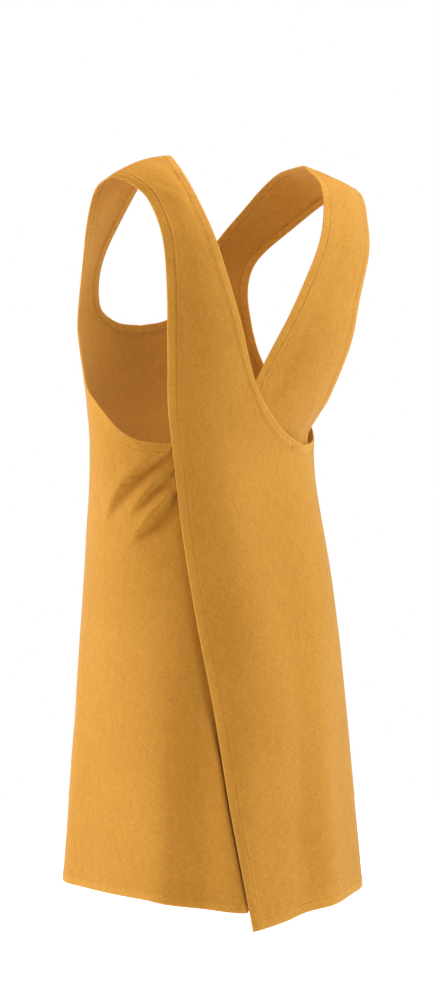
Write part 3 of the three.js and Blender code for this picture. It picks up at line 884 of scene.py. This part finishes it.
def ripple(points, row):
    """Smooth noise over space."""
    height, seed = row[3:]
    p = points / np.asarray(row[:3], float)
    cell = np.floor(p).astype(np.int64)
    t = p - cell
    t = t * t * t * (t * (t * 6 - 15) + 10)
    total = np.zeros(len(points))
    for cx in (0, 1):
        for cy in (0, 1):
            for cz in (0, 1):
                corner = hashed(cell[:, 0] + cx, cell[:, 1] + cy, cell[:, 2] + cz, seed)
                weight = t[:, 0] if cx else 1 - t[:, 0]
                weight = weight * (t[:, 1] if cy else 1 - t[:, 1]) * (t[:, 2] if cz else 1 - t[:, 2])
                total += corner * weight
    return height * total


def creases(points, table):
    total = np.zeros(len(points))
    for row in table:
        a, b = np.array(row[0:3], float), np.array(row[3:6], float)
        width, depth = row[6:]
        t = np.clip((points - a) @ (b - a) / ((b - a) @ (b - a)), 0, 1)
        total -= depth * bell(span(points - a - t[:, None] * (b - a)), width)
    return total


def half_thickness(gap):
    hem = mix(HEM_CLOTH, CLOTH, smooth((gap - HEM_END) / HEM_STEP)) / 2
    turned = np.sqrt(np.clip(1 - (1 - np.clip(gap / EDGE_ROUND, 0, 1)) ** 2, 0, 1))
    dip = STITCH_DIP * bell(gap - STITCH_AT, DIP_WIDTH)
    return mix(EDGE_HALF, hem, turned) - dip


def swayed(cloth, at_seam, lines, curl):
    """The middle of the cloth with its unevenness, creases, puckers and curled free edge."""
    soft = sum(ripple(cloth.spots, row) for row in RIPPLES) + creases(cloth.spots, lines) + cloth.hollow
    pucker = ripple(cloth.spots, PUCKER) * fade(cloth.from_hem, *PUCKER_FADE)
    pucker = pucker * smooth(cloth.from_hem / PUCKER_GROWS)
    curled = -curl * fade(cloth.from_free, 0, CURL_WIDTH) ** 2
    sway = soft * (1 - at_seam) + pucker + curled
    return cloth.spots + cloth.normals * sway[:, None]


def closed_faces(quads, count):
    """Both faces of the cloth, and the narrow wall around its edge."""
    sides = np.stack([quads, np.roll(quads, -1, 1)], -1).reshape(-1, 2)
    known = {(int(a), int(b)) for a, b in sides}
    rim = np.array([(a, b) for a, b in known if (b, a) not in known])
    a, b = rim[np.lexsort((rim[:, 1], rim[:, 0]))].T
    return np.vstack([quads, quads[:, ::-1] + count, np.stack([b, a, a + count, b + count], -1)])


def add_object(name, data):
    thing = bpy.data.objects.new(name, data)
    bpy.context.scene.collection.objects.link(thing)
    return thing


def smooth_mesh(name, points, faces, material):
    mesh = bpy.data.meshes.new(name)
    mesh.from_pydata((points * MM).tolist(), [], faces.tolist())
    mesh.polygons.foreach_set("use_smooth", np.ones(len(mesh.polygons), bool))
    mesh.materials.append(material)
    return mesh


def cloth_mesh(cloth, outer, inner, material):
    """The closed cloth, with its flat coordinates and each corner's distance from the edge."""
    faces = closed_faces(cloth.quads, len(outer))
    mesh = smooth_mesh(cloth.name, np.vstack([outer, inner]), faces, material)
    corners = np.zeros(len(mesh.loops), int)
    mesh.loops.foreach_get("vertex_index", corners)
    flat = np.vstack([cloth.flat, cloth.flat])[corners].astype(np.float32)
    mesh.uv_layers.new(name="cloth").data.foreach_set("uv", flat.ravel())
    gap = np.minimum(np.concatenate([cloth.from_hem, cloth.from_hem]), EDGE_KNOWN).astype(np.float32)
    mesh.attributes.new("edge", "FLOAT", "POINT").data.foreach_set("value", gap)
    mesh.set_sharp_from_angle(angle=SHARP_TURN)
    mesh.validate()
    return mesh


# Stitches

# A stitch as rings along it. Columns: place along the stitch and thickness, as shares, and how far it rises.
STITCH_PROFILE = [(-0.5, 0.25, -0.1), (-0.36, 0.9, 0), (0.0, 1.0, 0), (0.36, 0.9, 0), (0.5, 0.25, -0.1)]
RING = 6              # corners of each ring
EVENING_ROUNDS = 3
SAME_SPOT = 1e-4      # points of a stitch line that lie closer than this are one


def evened(path):
    """Takes small steps out of a row of points."""
    for _ in range(EVENING_ROUNDS):
        path = np.concatenate([path[:1], (path[:-2] + 2 * path[1:-1] + path[2:]) / 4, path[-1:]])
    return path


def stitch_axes(path, up):
    """The middle of each stitch on a path, and its directions along, across and out of the cloth."""
    run = run_of(path)
    centres = np.arange(STITCH_PITCH / 2, run[-1] - STITCH_PITCH / 2, STITCH_PITCH)

    def at(values, places):
        return np.array([np.interp(places, run, values[:, axis]) for axis in range(3)]).T

    start, end = at(path, centres - STITCH_LONG / 2), at(path, centres + STITCH_LONG / 2)
    along, out = unit(end - start), at(up, centres)
    out = unit(out - along * (out * along).sum(1, keepdims=True))
    return (start + end) / 2 + out * STITCH_LIFT, along, np.cross(along, out), out


def stitch_rings(middle, along, across, out):
    rings = []
    for place, thick, rise in STITCH_PROFILE:
        radius = STITCH_THICK / 2 * thick
        for turn in np.linspace(0, 2 * math.pi, RING, endpoint=False):
            aside = across * (radius * math.cos(turn))
            above = out * (radius * STITCH_FLAT * math.sin(turn) + rise)
            rings.append(middle + along * (place * STITCH_LONG) + aside + above)
    return np.stack(rings, 1)


def ring_faces():
    """Faces of one stitch, between each ring and the next."""
    faces = []
    for low in range(0, RING * (len(STITCH_PROFILE) - 1), RING):
        for i in range(RING):
            k = (i + 1) % RING
            faces.append([low + i, low + k, low + RING + k, low + RING + i])
    return np.array(faces)


def stitch_mesh(name, cloth, outer, inner, thread):
    """Short rounded stitches along each stitch line, on both faces of the cloth."""
    points, faces, count = [], [], 0
    pattern = ring_faces()
    for line in cloth.lines:
        for surface, side in ((outer, 1), (inner, -1)):
            path = surface[line]
            keep = np.concatenate([[True], span(np.diff(path, axis=0)) > SAME_SPOT])
            block = stitch_rings(*stitch_axes(evened(path[keep]), cloth.normals[line][keep] * side))
            base = count + np.arange(len(block))[:, None, None] * block.shape[1]
            faces.append((base + pattern[None]).reshape(-1, 4))
            points.append(block.reshape(-1, 3))
            count += len(block) * block.shape[1]
    return smooth_mesh(name, np.vstack(points), np.vstack(faces), thread)


def dress(cloth, body, cotton, thread, lines=(), curl=0):
    """Builds the closed cloth with its hems, and the stitches that lie on it."""
    at_seam = np.zeros(len(cloth.spots))
    at_seam[list(cloth.seam)] = 1
    middle = swayed(cloth, at_seam, lines, curl)
    half = (half_thickness(cloth.from_hem) - SEAM_THIN * at_seam)[:, None]
    outer, inner = middle + cloth.normals * half, middle - cloth.normals * half
    piece = add_object(cloth.name, cloth_mesh(cloth, outer, inner, cotton))
    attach(piece, "root")
    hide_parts(body)
    name = body + "_topstitching"
    stitches = add_object(name, stitch_mesh(name, cloth, outer, inner, thread))
    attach(stitches, "root")


# Materials

class Nodes:
    """Short calls for building a node tree."""

    def __init__(self, tree):
        self.tree = tree
        tree.nodes.clear()

    def add(self, kind, **values):
        """Adds a node and sets the properties or the inputs that have these names."""
        node = self.tree.nodes.new(kind)
        for key, value in values.items():
            if hasattr(node, key):
                setattr(node, key, value)
            else:
                node.inputs[key].default_value = value
        return node

    def link(self, source, target):
        self.tree.links.new(source, target)

    def math(self, operation, *values):
        node = self.add("ShaderNodeMath", operation=operation)
        for socket, value in zip(node.inputs, values):
            if isinstance(value, (int, float)):
                socket.default_value = value
            else:
                self.link(value, socket)
        return node.outputs[0]

    def weigh(self, *parts):
        """The sum of values, each with its own weight."""
        total = 0.0
        for value, weight in parts:
            total = self.math("MULTIPLY_ADD", value, weight, total)
        return total

    def split(self, vector):
        node = self.add("ShaderNodeSeparateXYZ")
        self.link(vector, node.inputs[0])
        return node.outputs["X"], node.outputs["Y"]

    def noise(self, vector, scale, detail, roughness):
        node = self.add("ShaderNodeTexNoise", Scale=scale, Detail=detail, Roughness=roughness)
        self.link(vector, node.inputs["Vector"])
        return node.outputs["Fac"]

    def uneven(self, vector, across, along, detail, roughness):
        """Noise around zero with its own fineness across and along the cloth."""
        finer = self.add("ShaderNodeMapping", Scale=(across, along, 1))
        self.link(vector, finer.inputs["Vector"])
        return self.math("SUBTRACT", self.noise(finer.outputs["Vector"], 1.0, detail, roughness), 0.5)

    def nearness(self, gap, width):
        """1 where a gap is zero, falling evenly to 0 at a width."""
        return self.math("SUBTRACT", 1.0, self.math("MINIMUM", self.math("DIVIDE", gap, width), 1.0))

    def ease(self, value, start, end, at_start, at_end):
        """Passes smoothly from one number to another while a value goes from start to end."""
        node = self.add("ShaderNodeMapRange", interpolation_type="SMOOTHSTEP")
        for name, number in zip(("From Min", "From Max", "To Min", "To Max"), (start, end, at_start, at_end)):
            node.inputs[name].default_value = number
        self.link(value, node.inputs["Value"])
        return node.outputs["Result"]

    def blend(self, share, deep, pale):
        node = self.add("ShaderNodeMix", data_type="RGBA", A=deep, B=pale)
        self.link(share, node.inputs["Factor"])
        return node.outputs["Result"]

    def relief(self, height, strength, distance):
        node = self.add("ShaderNodeBump", Strength=strength, Distance=distance)
        self.link(height, node.inputs["Height"])
        return node.outputs["Normal"]

    def surface(self, finish, **links):
        """A principled shader with a fixed finish and linked inputs, as the surface of the material."""
        shader = self.add("ShaderNodeBsdfPrincipled", **finish)
        for name, source in links.items():
            self.link(source, shader.inputs[name.replace("_", " ")])
        out = self.add("ShaderNodeOutputMaterial")
        self.link(shader.outputs["BSDF"], out.inputs["Surface"])


def new_material(name):
    material = bpy.data.materials.new(name)
    material.use_nodes = True
    return material, Nodes(material.node_tree)


DEEP_YARN, PALE_YARN = (0.515, 0.188, 0.0135, 1), (0.772, 0.362, 0.0466, 1)
TONE_SPAN = 0.4       # difference in tone between the deep and the pale yarn
WEAVE_PITCH = 0.0011  # metres from thread to thread

# Noises that make the cloth uneven. Columns: fineness across and along the cloth, detail, roughness.
WARP_SLUB = (950, 210, 2.0, 0.6)
WEFT_SLUB = (190, 950, 2.0, 0.6)
GRAIN = (720, 720, 2.0, 0.7)
CLOUDS = (9, 9, 3.0, 0.55)
PATCHES = (150, 55, 3.0, 0.65)

# How much each of them changes the tone, the height and the roughness of the cloth.
SLUB_TONE, GRAIN_TONE, CLOUDS_TONE, PATCHES_TONE, WEAVE_TONE = 0.38, 0.15, 0.14, 0.22, 0.05
WEAVE_HEIGHT, SLUB_HEIGHT = 0.5, 0.9
ROUGHNESS, SLUB_ROUGHNESS = 0.86, 0.12
COTTON_RELIEF = (0.42, 0.0003)   # strength, and depth in metres
COTTON_FINISH = {
    "Specular IOR Level": 0.18,
    "Sheen Weight": 0.30,
    "Sheen Roughness": 0.36,
    "Sheen Tint": (1.0, 0.86, 0.50, 1),
}

# The worn edge is paler. The hem carries a painted highlight, up to where it ends between two distances from
# the edge. The stitch line carries painted shade, which gets darker between two heights, in metres, on the
# way up to the straps.
WORN_WIDTH, WORN_TONE = 2.2, 0.17
PAINTED_HEM_HIGHLIGHT = (11.8, 14.6, 0.05, 0.0)
# Painted shade along the stitch line: its width, then the heights and tones over which it darkens.
PAINTED_STITCH_SHADE_WIDTH = 1.3
PAINTED_STITCH_SHADE = (-0.345, -0.25, -0.11, -0.30)


def cloth_material():
    """Matt mustard plain weave: uneven yarns, painted highlight on the hem, painted stitch shade, paler worn
    edges.
    """
    material, n = new_material("mustard_cotton")
    uv = n.add("ShaderNodeUVMap", uv_map="cloth").outputs["UV"]
    across, along = n.split(uv)
    warp, weft = (n.math("SINE", n.math("MULTIPLY", way, math.pi / WEAVE_PITCH)) for way in (across, along))
    weave = n.math("MULTIPLY", warp, weft)
    slub = n.math("ADD", n.uneven(uv, *WARP_SLUB), n.uneven(uv, *WEFT_SLUB))
    gap = n.add("ShaderNodeAttribute", attribute_name="edge").outputs["Fac"]
    off_stitch = n.math("ABSOLUTE", n.math("SUBTRACT", gap, STITCH_AT))
    tone = n.weigh(
        (slub, SLUB_TONE),
        (n.uneven(uv, *GRAIN), GRAIN_TONE),
        # painted highlight on the hem band
        (n.ease(gap, *PAINTED_HEM_HIGHLIGHT), 1.0),
        (n.uneven(uv, *CLOUDS), CLOUDS_TONE),
        (n.uneven(uv, *PATCHES), PATCHES_TONE),
        (weave, WEAVE_TONE),
        (n.nearness(gap, WORN_WIDTH), WORN_TONE),
        # painted shade along the stitch line, darker towards the straps
        (n.nearness(off_stitch, PAINTED_STITCH_SHADE_WIDTH), n.ease(along, *PAINTED_STITCH_SHADE)),
    )
    share = n.math("MULTIPLY_ADD", tone, 1 / TONE_SPAN, 0.5)
    height = n.weigh((weave, WEAVE_HEIGHT), (slub, SLUB_HEIGHT))
    n.surface(
        COTTON_FINISH,
        Base_Color=n.blend(share, DEEP_YARN, PALE_YARN),
        Roughness=n.math("MULTIPLY_ADD", slub, SLUB_ROUGHNESS, ROUGHNESS),
        Normal=n.relief(height, *COTTON_RELIEF),
    )
    return material


DEEP_THREAD, PALE_THREAD = (0.56, 0.215, 0.026, 1), (0.78, 0.345, 0.055, 1)
THREAD_UNEVEN = (240.0, 2.0, 0.6)    # fineness, detail, roughness
THREAD_TWIST = (1500.0, 1.0, 0.5)
THREAD_RELIEF = (0.4, 0.0001)
THREAD_FINISH = {"Roughness": 0.6, "Specular IOR Level": 0.35}


def thread_material():
    """Sewing thread in the colour of the cloth, with a slight lustre and a twist."""
    material, n = new_material("mustard_thread")
    place = n.add("ShaderNodeTexCoord").outputs["Object"]
    colour = n.blend(n.noise(place, *THREAD_UNEVEN), DEEP_THREAD, PALE_THREAD)
    twist = n.relief(n.noise(place, *THREAD_TWIST), *THREAD_RELIEF)
    n.surface(THREAD_FINISH, Base_Color=colour, Normal=twist)
    return material


# The pale floor, in metres. Its glow grows between two distances, from one strength to another.
FLOOR_RADIUS = 3.0
FLOOR_HEIGHT = -1.32
FLOOR_SIDES = 96
FLOOR_GLOW = (0.55, 1.15, 0.34, 0.95)
WHITE = (1, 1, 1, 1)
FLOOR_FINISH = {
    "Base Color": (0.86, 0.86, 0.86, 1),
    "Roughness": 0.9,
    "Specular IOR Level": 0.1,
    "Emission Color": WHITE,
}


def floor_material():
    material, n = new_material("pale_floor")
    place = n.add("ShaderNodeTexCoord").outputs["Object"]
    squares = [n.math("POWER", way, 2.0) for way in n.split(place)]
    far = n.math("SQRT", n.math("ADD", *squares))
    n.surface(FLOOR_FINISH, Emission_Strength=n.ease(far, *FLOOR_GLOW))
    return material


def make_floor():
    turn = np.linspace(0, 2 * math.pi, FLOOR_SIDES, endpoint=False)
    height = np.full(FLOOR_SIDES, FLOOR_HEIGHT)
    ring = np.stack([FLOOR_RADIUS * np.cos(turn), FLOOR_RADIUS * np.sin(turn), height], 1)
    mesh = bpy.data.meshes.new("floor")
    mesh.from_pydata(ring.tolist(), [], [list(range(FLOOR_SIDES))])
    mesh.materials.append(floor_material())
    floor = add_object("floor", mesh)


# The camera stands behind the wearer, towards the wearer's left, level with the shoulders. In metres.
CAMERA_TURN = math.radians(38)
CAMERA_PITCH = math.radians(5.3)
CAMERA_DISTANCE = 4.5
CAMERA_AIM = Vector((-0.0121, 0.0095, 0.0))
SENSOR, LENS = 36, 129.6
CLIP_END = 60
AWAY = Vector((math.sin(CAMERA_TURN), math.cos(CAMERA_TURN), 0))
RIGHT = Vector((-math.cos(CAMERA_TURN), math.sin(CAMERA_TURN), 0))
UP = Vector((0, 0, 1))


def look_along(thing, direction):
    thing.rotation_mode = "QUATERNION"
    thing.rotation_quaternion = direction.to_track_quat("-Z", "Y")


def make_camera():
    data = bpy.data.cameras.new("camera")
    data.sensor_fit = "AUTO"
    data.sensor_width = SENSOR
    data.lens = LENS
    data.clip_end = CLIP_END
    camera = add_object("camera", data)
    camera.location = CAMERA_AIM + AWAY * CAMERA_DISTANCE
    look_along(camera, -AWAY * math.cos(CAMERA_PITCH) - UP * math.sin(CAMERA_PITCH))
    bpy.context.scene.camera = camera


# Soft lights. Columns: name, how far it stands from the middle of the apron to the picture's right, towards
# the camera and up, its width and height, all in metres, then its power in watts and its colour.
WARM, COOL = (1.0, 0.95, 0.95), (0.93, 1.09, 1.45)
LIGHTS = [
    ["soft_left", -2.1, 0.05, 0.25, 1.3, 2.0, 35, COOL],
    ["soft_right", 2.1, 0.10, 1.80, 1.3, 1.8, 78, COOL],
    ["soft_high", -0.9, 1.50, 2.50, 1.4, 1.2, 34, WARM],
    ["soft_top", -0.2, -0.20, 2.70, 1.2, 1.2, 14, WARM],
]
LIT_MIDDLE = Vector((-0.03, 0.0, -0.45))
FILL_COLOUR, FILL_STRENGTH = (1.0, 0.64, 0.34, 1), 0.05


def make_lights():
    for name, aside, near, high, width, height, power, colour in LIGHTS:
        data = bpy.data.lights.new(name, "AREA")
        data.shape = "RECTANGLE"
        data.size, data.size_y = width, height
        data.energy = power
        data.color = colour
        light = add_object(name, data)
        place = LIT_MIDDLE + RIGHT * aside + AWAY * near + UP * high
        light.location = place
        look_along(light, LIT_MIDDLE - place)


def make_world():
    """A faint warm fill, which the camera sees as white."""
    world = bpy.data.worlds.new("studio")
    bpy.context.scene.world = world
    world.use_nodes = True
    n = Nodes(world.node_tree)
    light = n.add("ShaderNodeBackground", Strength=FILL_STRENGTH, Color=FILL_COLOUR)
    seen = n.add("ShaderNodeBackground", Strength=1.0, Color=WHITE)
    path = n.add("ShaderNodeLightPath")
    both = n.add("ShaderNodeMixShader")
    n.link(path.outputs["Is Camera Ray"], both.inputs[0])
    n.link(light.outputs[0], both.inputs[1])
    n.link(seen.outputs[0], both.inputs[2])
    out = n.add("ShaderNodeOutputWorld")
    n.link(both.outputs[0], out.inputs["Surface"])


def under_cling(u):
    return (1 - u) ** UNDER_CLING


def over_cling(u):
    return 1 - u ** OVER_CLING


# The edges of the back panels: hem, free edge of the skirt, free edge of the strap, neck edge.
UNDER_EDGES = (UNDER_HEM, UNDER_EDGE_SKIRT, UNDER_EDGE_STRAP, UNDER_NECK)
OVER_EDGES = (OVER_HEM, OVER_EDGE_SKIRT, OVER_EDGE_STRAP, OVER_NECK)

make_camera()
make_world()
make_lights()
make_floor()
bpy.context.scene.view_settings.view_transform = "Standard"

cotton, sewing = cloth_material(), thread_material()
under = BackPanel("left_back_cloth", 1, UNDER_EDGES, 0, RIGHT_STRAP_BACK, under_relief, under_cling,
                  RIGHT_STRAP_HOLLOW)
over = BackPanel("right_back_cloth", -1, OVER_EDGES, OVER_GAP, LEFT_STRAP_BACK, over_relief, over_cling,
                 LEFT_STRAP_HOLLOW)
dress(under.cloth, "left_back_panel", cotton, sewing)
dress(over.cloth, "right_back_panel", cotton, sewing, OVER_CREASES, EDGE_CURL)
dress(front_panel("front_cloth"), "front_panel", cotton, sewing)
